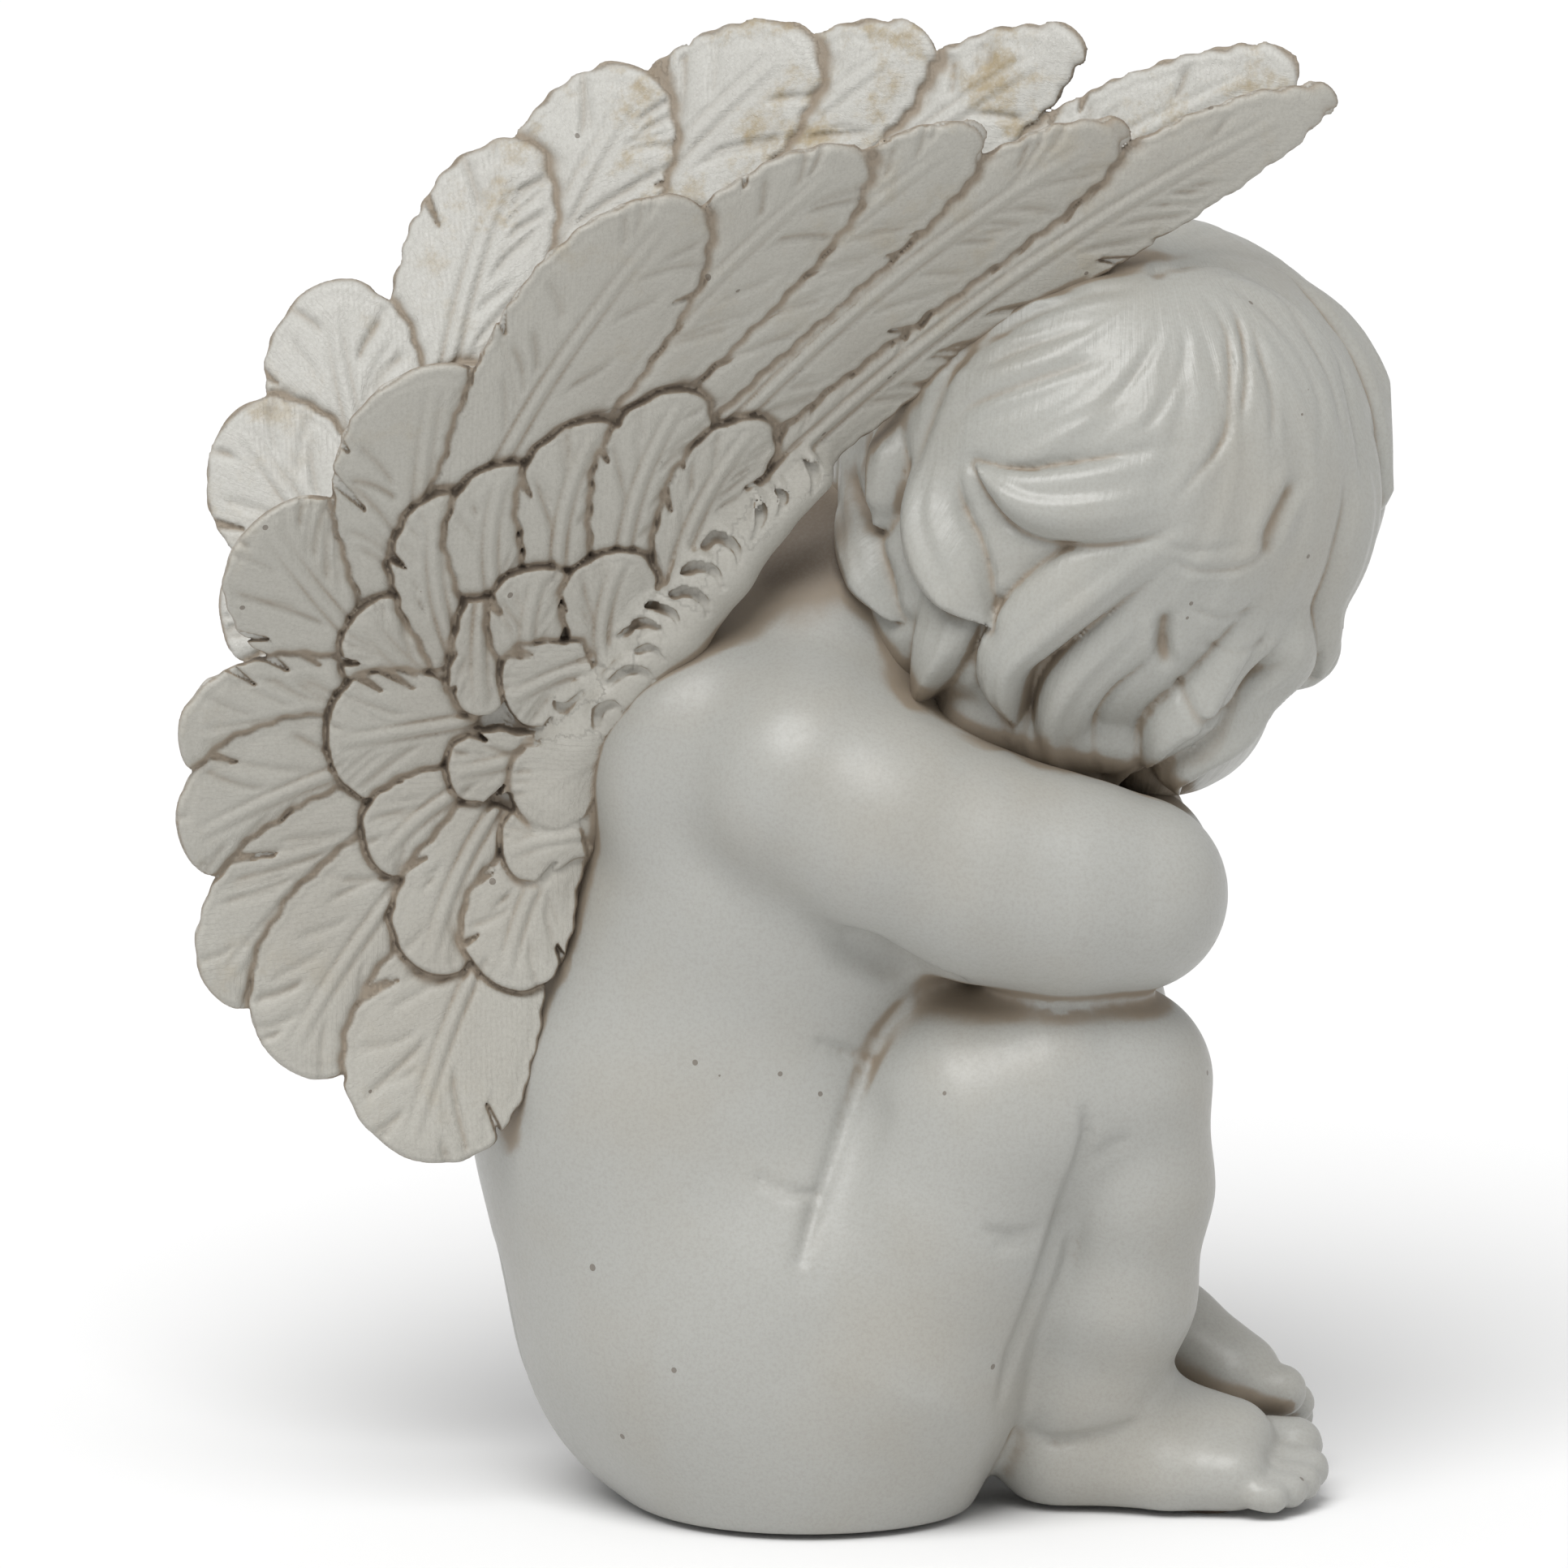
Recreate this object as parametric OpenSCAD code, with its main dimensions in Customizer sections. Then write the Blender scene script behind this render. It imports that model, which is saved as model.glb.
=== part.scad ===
// Seated angel figurine in cold-cast resin, built up from separately cast pieces.
// +X is the way the figure faces, +Y is its left, +Z is up. The origin is on the table plane,
// under the middle of the figure. All sculpted points are in the units of a 280 mm tall figure.

/* [Figure] */
// Overall height, from the table to the highest feather tip
figure_height = 280; // [200:5:400]
// Wall thickness of the hollow body casting
wall = 8; // [6:0.5:10]

/* [Wings] */
// Thickness of the outer feathers
feather_thickness = 4.2; // [3.5:0.1:6]
// How much each inner row stands proud of the row outside it, per face
row_step = 1.2; // [0.8:0.1:1.6]

/* [Hardware] */
// Diameter of the steel dowels that locate the wings and the head
dowel_d = 5; // [3:0.5:6]
// Length of each dowel
dowel_length = 24; // [18:1:28]
// Gap round each dowel, filled with epoxy
glue_gap = 0.15; // [0.1:0.05:0.3]
// Diameter of the disc that closes the hollow underside
base_disc_d = 34; // [30:1:36]
// Thickness of that disc
base_disc_thickness = 3; // [2.5:0.5:4]
// Diameter of the stopper in the disc
stopper_d = 9; // [7:0.5:11]
// Thickness of the felt pads
pad_thickness = 1; // [0.8:0.1:2]

/* [Hidden] */

k = figure_height / 280;
shift_x = 0.6;
side_sign = [-1, 1];
right = -1;
left = 1;

ivory = [0.80, 0.79, 0.76];
steel = [0.70, 0.71, 0.73];
rubber = [0.16, 0.16, 0.17];
felt = [0.36, 0.30, 0.25];

limb_fn = 16;
disc_fn = 12;
round_fn = 48;

// Joints of the body for one side, as [x, distance out from the middle, z]
hip = [10, 21, 37];
thigh = [28, 26, 60];
thigh_top = [38, 28, 81];
knee = [61, 31, 88];
calf = [64, 30, 64];
ankle = [60, 23, 28];
heel = [51, 19, 13];
shoulder = [1, 31, 147];
mid_arm = [34, 37, 131];
elbow = [63, 37, 125];

// The wing is a fan round its root. sheet(x, z) is how far out from the middle plane it lies there.
root = [-20, 160];
root_out = 16;

function fan_angle(x, z) =
    let (a = atan2(z - root[1], x - root[0])) a < -60 ? a + 360 : a;
function sq(v) = v * v;
function flare(a) = a < 112
    ? 0.53 * sq(cos(min(90, (112 - a) * 1.06)))
    : 0.11 + 0.42 * sq(cos(min(90, (a - 112) * 0.783)));
function sheet(x, z) =
    let (r = norm([x - root[0], z - root[1]]))
    root_out + flare(fan_angle(x, z)) * 100 * pow(r / 100, 1.15);

// Each feather is [x and z of its quill end, x and z of its tip, width].
flight_feathers = [
    [  2, 210,  101.5, 276, 21],
    [ -8, 212,   60, 274,   20],
    [-18, 212,   32, 275.8, 21],
    [-30, 210,    9, 272.5, 23],
    [-46, 202,  -25, 266,   25],
    [-60, 188,  -72, 235,   29],
    [-62, 174, -104, 206,   30],
    [-64, 162, -118.5, 160, 27],
    [-62, 156, -117, 138,   27],
    [-62, 146, -110, 108,   25],
    [-56, 138,  -97, 94,    28],
    [-50, 124,  -74, 76,    33]
];
covert_feathers = [
    [-22, 190,   -8, 219, 18],
    [-34, 190,  -23, 227, 20],
    [-46, 186,  -40, 222, 20],
    [-58, 178,  -58, 214, 18],
    [-64, 172,  -70, 208, 17],
    [-64, 164,  -85, 184, 21],
    [-62, 160,  -92, 157, 26],
    [-62, 147,  -81, 131, 19],
    [-56, 142,  -71, 109, 20],
    [-45, 134,  -57, 106, 22]
];
small_coverts = [
    [-36, 172,  -34, 194, 18],
    [-46, 168,  -49, 192, 17],
    [-44, 168,  -60, 164, 17],
    [-48, 153,  -68, 149, 15],
    [-38, 152,  -54, 141, 17],
    [-40, 138,  -57, 132, 14]
];
// One more flight feather fills the top of the left wing.
left_extra = [-54, 196, -48, 253, 24];

module place() {
    scale(k) translate([shift_x, 0, 0]) children();
}

module ball(p, r, side = 1) {
    translate([p[0], side * p[1], p[2]]) sphere(r, $fn = limb_fn);
}

module limb(a, ra, b, rb, side = 1) {
    hull() {
        ball(a, ra, side);
        ball(b, rb, side);
    }
}

// --- Body ---

module paired_hull(a, ra, b, rb) {
    hull() for (s = side_sign) {
        ball(a, ra, s);
        ball(b, rb, s);
    }
}

module torso() {
    paired_hull([-10, 9, 41], 40, [-24, 4, 77], 37);
    paired_hull([-24, 4, 77], 37, [-15, 12, 118], 29);
    paired_hull([-15, 12, 118], 29, [-3, 18, 144], 23);
    paired_hull([-3, 18, 144], 23, [8, 6, 160], 20);
    paired_hull([-3, 18, 144], 23, shoulder, 22);
    paired_hull([-4, 10, 76], 30, [10, 13, 104], 26);
    paired_hull([10, 13, 104], 26, [14, 12, 134], 26);
    limb([8, 0, 160], 20, [34, 0, 180], 18);
}

module seat() {
    hull() for (s = side_sign) {
        translate([-3, s * 15, pad_thickness / k]) cylinder(r = 29, h = 4, $fn = limb_fn);
        ball([-11, 13, 44], 37, s);
    }
}

module leg(side) {
    hull() {
        ball(hip, 32, side);
        ball(thigh, 26, side);
    }
    hull() {
        ball(thigh, 26, side);
        ball(thigh_top, 23, side);
        ball(knee, 18, side);
    }
    limb(knee, 17.5, calf, 15.5, side);
    limb(calf, 15.5, ankle, 13.5, side);
    limb(ankle, 13.5, heel, 12, side);
}

// The right foot is flat on the table; the left one lies across its instep.
module feet() {
    limb([52, -17, 13], 12, [84, -24, 9.5], 9);
    limb([84, -24, 9.5], 9, [92, -24, 8], 7);
    limb([56, 19, 14], 12.5, [61, 17, 24], 13);
    limb([61, 17, 24], 13, [82, 5, 20], 10.5);
    limb([82, 5, 20], 10.5, [92, -1, 15], 8);
    for (i = [0 : 4])
        limb([88, -8 + 4 * i, 13 + 2.4 * i], 4.4, [97 - i, -9 + 4 * i, 12 + 2.6 * i], 3.6);
    for (i = [0 : 2])
        limb([90, -28 + 4 * i, 7], 4.4, [99 - i, -29 + 4 * i, 6], 3.8);
}

module arms() {
    for (s = side_sign) {
        limb(shoulder, 22.5, mid_arm, 22, s);
        limb(mid_arm, 22, elbow, 19, s);
    }
    limb([64, -34, 125], 17, [71, 14, 130], 13);
    limb([71, 14, 130], 13, [62, 36, 142], 8);
    limb([64, 34, 125], 17, [56, -10, 130], 13);
    limb([56, -10, 130], 13, [42, -32, 142], 8);
    paired_hull([44, 14, 114], 20, [32, 12, 138], 20);
}

module body_outer() {
    difference() {
        union() {
            torso();
            seat();
            leg(right);
            leg(left);
            feet();
            arms();
        }
        translate([-200, -200, -50]) cube([400, 400, 50 + pad_thickness / k]);
    }
}

module body_cavity() {
    inner = 34 - wall;
    hull() for (s = side_sign) {
        ball([-10, 13, 42], inner, s);
        ball([-25, 7, 80], inner - 4, s);
    }
    hull() {
        ball([-25, 0, 80], inner - 4);
        ball([-16, 0, 110], inner - 8);
    }
}

// The hardware keeps its own size, so these modules work in real millimetres, outside place().
disc_x = k * (2 + shift_x);
rebate_gap = 0.2;

module base_opening() {
    translate([disc_x, 0, -1])
        cylinder(d = base_disc_d + 2 * rebate_gap, h = pad_thickness + base_disc_thickness + 1, $fn = round_fn);
    translate([disc_x, 0, 0]) cylinder(d = base_disc_d - 8, h = 30 * k, $fn = round_fn);
}

// Dowels: [end inside the body, direction into the other casting], one direction per joint
wing_dowel_ends = [[-11, 21, 156], [-24, 20, 140]];
head_dowel_end = [37, 0, 182];
head_dowel_tilt = 42;

module dowel(gap = 0) {
    cylinder(d = dowel_d + 2 * gap, h = dowel_length + 2 * gap, $fn = round_fn);
}

module wing_dowels(side, gap = 0) {
    for (p = wing_dowel_ends)
        translate([k * (p[0] + shift_x) + gap, k * side * p[1], k * p[2]])
            rotate([0, -90, 0]) dowel(gap);
}

module head_dowel_shape(gap = 0) {
    translate([k * (head_dowel_end[0] + shift_x), 0, k * head_dowel_end[2]])
        rotate([0, head_dowel_tilt, 0]) translate([0, 0, -gap]) dowel(gap);
}

module body_casting() {
    color(ivory) difference() {
        place() body_outer();
        place() body_cavity();
        base_opening();
        wing_dowels(right, glue_gap);
        wing_dowels(left, glue_gap);
        head_dowel_shape(glue_gap);
    }
}

// --- Head ---

module skull() {
    hull() {
        for (s = side_sign) ball([65, 2, 201], 46.5, s);
        ball([60, 0, 182], 36);
        ball([78, 0, 184], 33);
    }
}

// Each lock is [bearing at the crown, bearing at its tip, dip of its tip]. It hugs the skull on the way down.
head_centre = [65, 0, 201];
locks = [
    [10, 20, 40], [36, 44, 50], [62, 70, 46], [88, 96, 54],
    [114, 124, 44], [140, 148, 36], [166, 168, 26]
];

function on_head(bearing, rise, reach) =
    head_centre + reach * [cos(rise) * cos(bearing), cos(rise) * sin(bearing), sin(rise)];

module hair() {
    for (s = side_sign, lock = locks) {
        half_way = (lock[0] + lock[1]) / 2;
        limb(on_head(lock[0], 52, 38), 10.5, on_head(half_way, 4, 42.5), 9, s);
        limb(on_head(half_way, 4, 42.5), 9, on_head(lock[1], -lock[2], 51), 5.5, s);
    }
}

module head_casting() {
    color(ivory) difference() {
        place() union() {
            skull();
            hair();
        }
        place() body_outer();
        place() wing_outer(right);
        place() wing_outer(left);
        head_dowel_shape(glue_gap);
    }
}

// --- Wings ---

module feather_disc(x, z, r, t, side) {
    translate([x, side * sheet(x, z), z])
        rotate([90, 0, 0]) cylinder(r = r, h = t, center = true, $fn = disc_fn);
}

module feather(f, t, side) {
    run = [f[2] - f[0], f[3] - f[1]];
    step = run / norm(run);
    width = f[4];
    tip_r = 0.34 * width;
    tip = [f[2], f[3]] - step * tip_r;
    middle = [f[0], f[1]] + 0.62 * run;
    hull() {
        feather_disc(f[0], f[1], 0.3 * width, t, side);
        feather_disc(middle[0], middle[1], 0.5 * width, t, side);
        feather_disc(tip[0], tip[1], tip_r, 0.7 * t, side);
    }
}

// The fleshy arm of the wing runs from the shoulder blade up its front edge.
arm_points = [
    [-44, 20, 138, 7.5], [-33, 21, 152, 8.5], [-24, 23, 167, 8.5],
    [-14, 26, 183, 8], [-4, 29, 198, 7], [5, 30, 209, 5.5]
];

module wing_arm(side) {
    for (i = [0 : len(arm_points) - 2]) {
        a = arm_points[i];
        b = arm_points[i + 1];
        limb(a, a[3], b, b[3], side);
    }
    hull() {
        ball([-42, 24, 144], 7, side);
        ball([-34, 25, 172], 7, side);
        ball([-60, 30, 158], 5, side);
    }
}

// A thin web behind the feathers joins each quill to the next.
module web(f, g, side) {
    hull() for (q = [f, g], share = [0, 0.55])
        feather_disc(q[0] + share * (q[2] - q[0]), q[1] + share * (q[3] - q[1]), 0.3 * q[4],
                     0.6 * feather_thickness, side);
}

module wing_outer(side) {
    for (f = flight_feathers) feather(f, feather_thickness, side);
    for (i = [0 : len(flight_feathers) - 2]) web(flight_feathers[i], flight_feathers[i + 1], side);
    if (side == left) feather(left_extra, feather_thickness, side);
    for (f = covert_feathers) feather(f, feather_thickness + 2 * row_step, side);
    for (f = small_coverts) feather(f, feather_thickness + 4 * row_step, side);
    wing_arm(side);
}

module wing(side) {
    color(ivory) difference() {
        place() wing_outer(side);
        place() body_outer();
        wing_dowels(side, glue_gap);
    }
}

// --- Hardware ---

module base_disc() {
    color(ivory) translate([disc_x, 0, pad_thickness]) difference() {
        cylinder(d = base_disc_d, h = base_disc_thickness, $fn = round_fn);
        translate([0, 0, -1]) cylinder(d = stopper_d, h = base_disc_thickness + 2, $fn = round_fn);
    }
}

module vent_stopper() {
    lip = 1.5;
    color(rubber) translate([disc_x, 0, pad_thickness]) {
        cylinder(d = stopper_d - 0.1, h = base_disc_thickness, $fn = round_fn);
        translate([0, 0, base_disc_thickness]) cylinder(d = stopper_d + 2 * lip, h = lip, $fn = round_fn);
    }
}

seat_pad_d = 11;
foot_pad_d = 10;
seat_pad_places = [[-20, -14], [-20, 14]];
foot_pad_places = [[80, -23], [54, 18]];

module pads(places, d) {
    color(felt) for (p = places)
        translate([k * (p[0] + shift_x), k * p[1], 0]) cylinder(d = d, h = pad_thickness, $fn = round_fn);
}

body_casting();
head_casting();
wing(right);  // right_wing
wing(left);  // left_wing
color(steel) wing_dowels(right);  // right_wing_dowels
color(steel) wing_dowels(left);  // left_wing_dowels
color(steel) head_dowel_shape();  // head_dowel
base_disc();
vent_stopper();
pads(seat_pad_places, seat_pad_d);  // seat_pads
pads(foot_pad_places, foot_pad_d);  // foot_pads
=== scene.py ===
import math

import bpy
import numpy as np
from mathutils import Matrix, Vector


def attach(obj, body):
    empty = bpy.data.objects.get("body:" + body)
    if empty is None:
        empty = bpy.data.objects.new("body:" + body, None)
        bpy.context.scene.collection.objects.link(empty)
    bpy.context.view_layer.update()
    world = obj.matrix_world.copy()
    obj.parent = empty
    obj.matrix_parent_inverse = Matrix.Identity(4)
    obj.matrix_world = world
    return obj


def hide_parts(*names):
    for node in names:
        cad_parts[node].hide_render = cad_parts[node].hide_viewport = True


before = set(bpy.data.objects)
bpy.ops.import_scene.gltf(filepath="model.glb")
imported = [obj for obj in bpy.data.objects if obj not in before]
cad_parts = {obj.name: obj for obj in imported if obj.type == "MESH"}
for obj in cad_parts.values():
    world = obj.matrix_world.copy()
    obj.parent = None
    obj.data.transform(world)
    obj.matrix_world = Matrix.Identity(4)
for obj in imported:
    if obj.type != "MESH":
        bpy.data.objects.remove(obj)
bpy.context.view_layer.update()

# The castings are sculpted here in millimetres, in the CAD frame, then scaled to metres.
# Each is a block of signed distances that forms are pressed onto or carved out of.

MM = 0.001
RIGHT, LEFT = -1, 1
SIDES = (RIGHT, LEFT)
# Factor on every sampling step.
FINE = 1.0
# The forms are sculpted this far behind their place in the CAD frame.
SHIFT_X = 0.6
# Distance held by clay that nothing has been pressed onto yet, and by a clay's outermost layer.
FAR = 40.0
RIM = 9.0


# ---------------- sculpting clay

def soft_min(a, b, blend):
    if blend <= 0:
        return np.minimum(a, b)
    overlap = np.maximum(blend - np.abs(a - b), 0) / blend
    return np.minimum(a, b) - overlap * overlap * blend / 4


def soft_max(a, b, blend):
    return -soft_min(-a, -b, blend)


def smooth_step(low, high, value):
    t = np.clip((value - low) / (high - low), 0, 1)
    return t * t * (3 - 2 * t)


class Clay:
    def __init__(self, low, high, voxel):
        self.voxel = voxel
        self.axes = [
            np.arange(lo, hi + voxel, voxel, dtype=np.float32) for lo, hi in zip(low, high)
        ]
        self.field = np.full([len(a) for a in self.axes], FAR, np.float32)

    def window(self, low, high):
        cut = []
        for axis, lo, hi in zip(self.axes, low, high):
            first, last = np.searchsorted(axis, (lo, hi))
            cut.append(slice(max(first - 1, 0), last + 1))
        x, y, z = (axis[c] for axis, c in zip(self.axes, cut))
        return tuple(cut), x[:, None, None], y[None, :, None], z[None, None, :]

    def press(self, low, high, distance, blend=0.0, carve=False):
        """Adds a form, or carves it out, inside a box that holds it with room for its blend."""
        pad = blend + 3 * self.voxel
        cut, x, y, z = self.window([v - pad for v in low], [v + pad for v in high])
        form = distance(x, y, z).astype(np.float32)
        if carve:
            self.field[cut] = soft_max(self.field[cut], -form, blend)
        else:
            self.field[cut] = soft_min(self.field[cut], form, blend)

    def ball(self, centre, radii, blend, pitch=0.0, carve=False):
        """An ellipsoid, turned by pitch degrees in the side view."""
        c, s = math.cos(math.radians(pitch)), math.sin(math.radians(pitch))
        reach = max(radii)

        def distance(x, y, z):
            dx, dy, dz = x - centre[0], y - centre[1], z - centre[2]
            u, w = (c * dx + s * dz), (c * dz - s * dx)
            turned = list(zip((u, dy, w), radii))
            near = np.sqrt(sum((d / r) ** 2 for d, r in turned))
            steep = np.sqrt(sum((d / r ** 2) ** 2 for d, r in turned))
            return near * (near - 1) / np.maximum(steep, 1e-6)

        low, high = [v - reach for v in centre], [v + reach for v in centre]
        self.press(low, high, distance, blend, carve)

    def limb(self, points, blend, carve=False):
        """A tapering rounded chain through (x, y, z, radius) points."""
        points = [tuple(map(float, p)) for p in points]
        low = [min(p[i] - p[3] for p in points) for i in range(3)]
        high = [max(p[i] + p[3] for p in points) for i in range(3)]

        def distance(x, y, z):
            nearest = None
            for a, b in zip(points, points[1:]):
                run = [b[i] - a[i] for i in range(3)]
                length2 = max(sum(r * r for r in run), 1e-6)
                off = [v - start for v, start in zip((x, y, z), a)]
                t = np.clip(sum(o * r for o, r in zip(off, run)) / length2, 0, 1)
                gap = np.sqrt(sum((o - t * r) ** 2 for o, r in zip(off, run)))
                gap = gap - (a[3] + t * (b[3] - a[3]))
                nearest = gap if nearest is None else soft_min(nearest, gap, 0.25 * a[3])
            return nearest

        self.press(low, high, distance, blend, carve)

    def column(self, x, z):
        """The y places that lie inside the clay on the line through (x, z)."""
        i = round((x - self.axes[0][0]) / self.voxel)
        k = round((z - self.axes[2][0]) / self.voxel)
        return self.axes[1][np.flatnonzero(self.field[i, :, k] < 0)]

    def crease(self, path, side, radius, depth):
        """Presses a fold into one side of the figure, along (x, z) points of its side view."""
        points = []
        for x, z in path:
            y = self.column(x, z)[0 if side == RIGHT else -1]
            points.append((x, y + side * (radius - depth), z, radius))
        for end in (0, -1):
            points[end] = points[end][:3] + (0.4 * radius,)
        self.limb(points, max(1.6, 0.8 * radius), carve=True)

    def at(self, points):
        """The distance field, read between its samples at an (n, 3) array of points."""
        place = []
        for i, axis in enumerate(self.axes):
            where = (points[:, i] - axis[0]) / self.voxel
            place.append(np.clip(where, 0, len(axis) - 1.001))
        low = [p.astype(int) for p in place]
        part = [p - l for p, l in zip(place, low)]
        total = 0
        for corner in np.ndindex(2, 2, 2):
            weight = 1
            for share, far in zip(part, corner):
                weight = weight * (share if far else 1 - share)
            total = total + weight * self.field[tuple(l + far for l, far in zip(low, corner))]
        return total

    def skin(self):
        """The surface as (points, quads): one point in each cell that the surface crosses."""
        f = self.field
        for rim in (0, -1):
            f[rim] = f[:, rim] = f[:, :, rim] = RIM
        inside = f < 0
        shape = tuple(n - 1 for n in f.shape)
        corner_sum = np.zeros(shape, np.int8)
        for corner in np.ndindex(2, 2, 2):
            corner_sum += inside[tuple(slice(c, c + n) for c, n in zip(corner, shape))]
        crossed = (corner_sum > 0) & (corner_sum < 8)
        cells = np.argwhere(crossed)
        index = np.full(shape, -1, np.int32)
        index[crossed] = np.arange(len(cells))
        total = np.zeros((len(cells), 3))
        count = np.zeros(len(cells))
        for axis in range(3):
            others = [i for i in range(3) if i != axis]
            for corner in np.ndindex(2, 2):
                start = cells.copy()
                start[:, others] += corner
                end = start.copy()
                end[:, axis] += 1
                a, b = f[tuple(start.T)], f[tuple(end.T)]
                cross = (a < 0) != (b < 0)
                t = np.where(cross, a / np.where(cross, a - b, 1), 0)
                point = (start - cells).astype(float)
                point[:, axis] += t
                total += np.where(cross[:, None], point, 0)
                count += cross
        points = (cells + total / count[:, None]) * self.voxel
        points += np.array([axis[0] for axis in self.axes])
        quads = []
        for axis in range(3):
            a_axis, b_axis = (axis + 1) % 3, (axis + 2) % 3
            here = [slice(1, n - 1) for n in f.shape]
            ahead = list(here)
            here[axis] = slice(0, f.shape[axis] - 1)
            ahead[axis] = slice(1, f.shape[axis])
            start, end = inside[tuple(here)], inside[tuple(ahead)]
            edges = np.argwhere(start != end)
            out = start[tuple(edges.T)]
            edges += [0 if i == axis else 1 for i in range(3)]
            ring = []
            for p, q in ((0, 0), (1, 0), (1, 1), (0, 1)):
                cell = edges.copy()
                cell[:, a_axis] -= p
                cell[:, b_axis] -= q
                ring.append(index[tuple(cell.T)])
            ring = np.stack(ring, 1)
            ring[~out] = ring[~out][:, ::-1]
            quads.append(ring)
        return points, np.concatenate(quads)


# ---------------- meshes

def edge_pairs(quads):
    return np.concatenate([quads[:, [i, (i + 1) % 4]] for i in range(4)])


def relaxed(points, quads, rounds):
    """Points moved halfway to the mean of their neighbours, the given number of times."""
    pairs = edge_pairs(quads)
    a = np.concatenate([pairs[:, 0], pairs[:, 1]])
    b = np.concatenate([pairs[:, 1], pairs[:, 0]])
    count = np.maximum(np.bincount(a, minlength=len(points)), 1)[:, None]
    for _ in range(rounds):
        mean = np.stack([np.bincount(a, points[b, i], len(points)) for i in range(3)], 1) / count
        points = points + 0.5 * (mean - points)
    return points


def largest_part(points, quads):
    """The biggest joined part of a surface, without any loose crumbs round it."""
    pairs = edge_pairs(quads)
    label = np.arange(len(points))
    while True:
        a, b = label[pairs[:, 0]], label[pairs[:, 1]]
        lowest = label.copy()
        np.minimum.at(lowest, np.maximum(a, b), np.minimum(a, b))
        lowest = lowest[lowest]
        if np.array_equal(lowest, label):
            break
        label = lowest
    kept = label == np.bincount(label).argmax()
    place = np.cumsum(kept) - 1
    return points[kept], place[quads[kept[quads[:, 0]]]]


def surface(clay, rounds, clays):
    """A clay's relaxed surface. The clay joins the others, for the shelter they give."""
    clays.append(clay)
    points, quads = largest_part(*clay.skin())
    return relaxed(points, quads, rounds), quads


def normals_of(points, quads):
    p = points[quads]
    face = np.cross(p[:, 2] - p[:, 0], p[:, 3] - p[:, 1])
    normal = np.zeros_like(points)
    for i in range(4):
        for axis in range(3):
            normal[:, axis] += np.bincount(quads[:, i], face[:, axis], len(points))
    return normal / np.maximum(np.linalg.norm(normal, axis=1), 1e-9)[:, None]


def hollowness(points, quads, rounds):
    """How far, in mm, each point lies below its smoothed surroundings."""
    smooth = relaxed(points, quads, rounds)
    return np.sum((smooth - points) * normals_of(points, quads), axis=1)


# How far out, in mm, the room round a point is felt for, and how much each reach counts.
FEELERS = [(1.5, 0.15), (3.5, 0.2), (7.0, 0.25), (13.0, 0.2), (22.0, 0.2)]


def shelter(points, normals, clays):
    """How shut in each point is by the forms around it, from 0 in the open to 1."""
    shelter_wash_and_shade = np.zeros(len(points))
    for reach, share in FEELERS:
        probe = points + normals * reach
        room = np.full(len(points), 1e3)
        for clay in clays:
            low = np.array([a[0] for a in clay.axes])
            high = np.array([a[-1] for a in clay.axes])
            held = np.all((probe > low) & (probe < high), axis=1)
            room[held] = np.minimum(room[held], clay.at(probe[held]))
        shelter_wash_and_shade += share * np.clip(1 - room / reach, 0, 1)
    return shelter_wash_and_shade


def mesh_object(name, points, quads, values):
    mesh = bpy.data.meshes.new(name)
    mesh.vertices.add(len(points))
    mesh.vertices.foreach_set("co", (points * MM).astype(np.float32).ravel())
    mesh.loops.add(4 * len(quads))
    mesh.loops.foreach_set("vertex_index", quads.astype(np.int32).ravel())
    mesh.polygons.add(len(quads))
    mesh.polygons.foreach_set("loop_start", np.arange(0, 4 * len(quads), 4, dtype=np.int32))
    mesh.polygons.foreach_set("use_smooth", np.ones(len(quads), bool))
    mesh.update(calc_edges=True)
    for key, value in values.items():
        layer = mesh.attributes.new(key, "FLOAT", "POINT")
        layer.data.foreach_set("value", value.astype(np.float32))
    piece = bpy.data.objects.new(name, mesh)
    bpy.context.scene.collection.objects.link(piece)
    return piece


# ---------------- body

# The left arm and knee are drawn in a little further than the right ones.
LEFT_BACK = {RIGHT: 0.0, LEFT: -3.0}


def both(points, side):
    return [(x + LEFT_BACK[side], side * y, z, r) for x, y, z, r in points]


def sculpt_torso(clay):
    clay.ball((-8, 0, 40), (46, 49, 47), 0)
    clay.ball((-22, 0, 78), (40, 40, 44), 14)
    clay.ball((-2, 0, 80), (34, 39, 38), 12)
    clay.ball((-10, 0, 124), (35, 41, 36), 18)
    clay.ball((8, 0, 118), (34, 39, 34), 12)
    clay.ball((5, 0, 146), (30, 42, 27), 12)
    clay.ball((1, 0, 157), (29, 38, 25), 12)
    clay.limb([(-4, 0, 160, 22), (8, 0, 176, 21), (36, 0, 188, 17)], 12)
    clay.limb([(-45, 0, 150, 3), (-68, 0, 96, 3.5), (-72, 0, 60, 3)], 9, carve=True)
    clay.limb([(-55, 0, 46, 1.5), (-54, 0, 30, 3), (-49, 0, 14, 3), (-42, 0, 2, 2)], 5, carve=True)
    for side in SIDES:
        clay.ball((-21, side * 25, 151), (18, 13, 22), 9, pitch=-25)


def sculpt_leg(clay, side):
    clay.ball((3, side * 19, 33), (40, 34, 50), 8)
    thigh = [(16, 23, 36, 31), (26, 26, 58, 26), (36, 28, 80, 24.5), (50, 30, 86, 21), (61, 31, 88, 18)]
    clay.limb(both(thigh, side), 5)
    shin = [(62, 31, 86, 17.5), (64, 30, 66, 15.5), (62, 27, 44, 14.5), (59, 22, 27, 12.5)]
    clay.limb(both(shin, side), 2.5)
    clay.limb(both([(56, 27, 62, 10), (53, 25, 44, 12.5), (51, 21, 27, 12.5)], side), 4)


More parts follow.
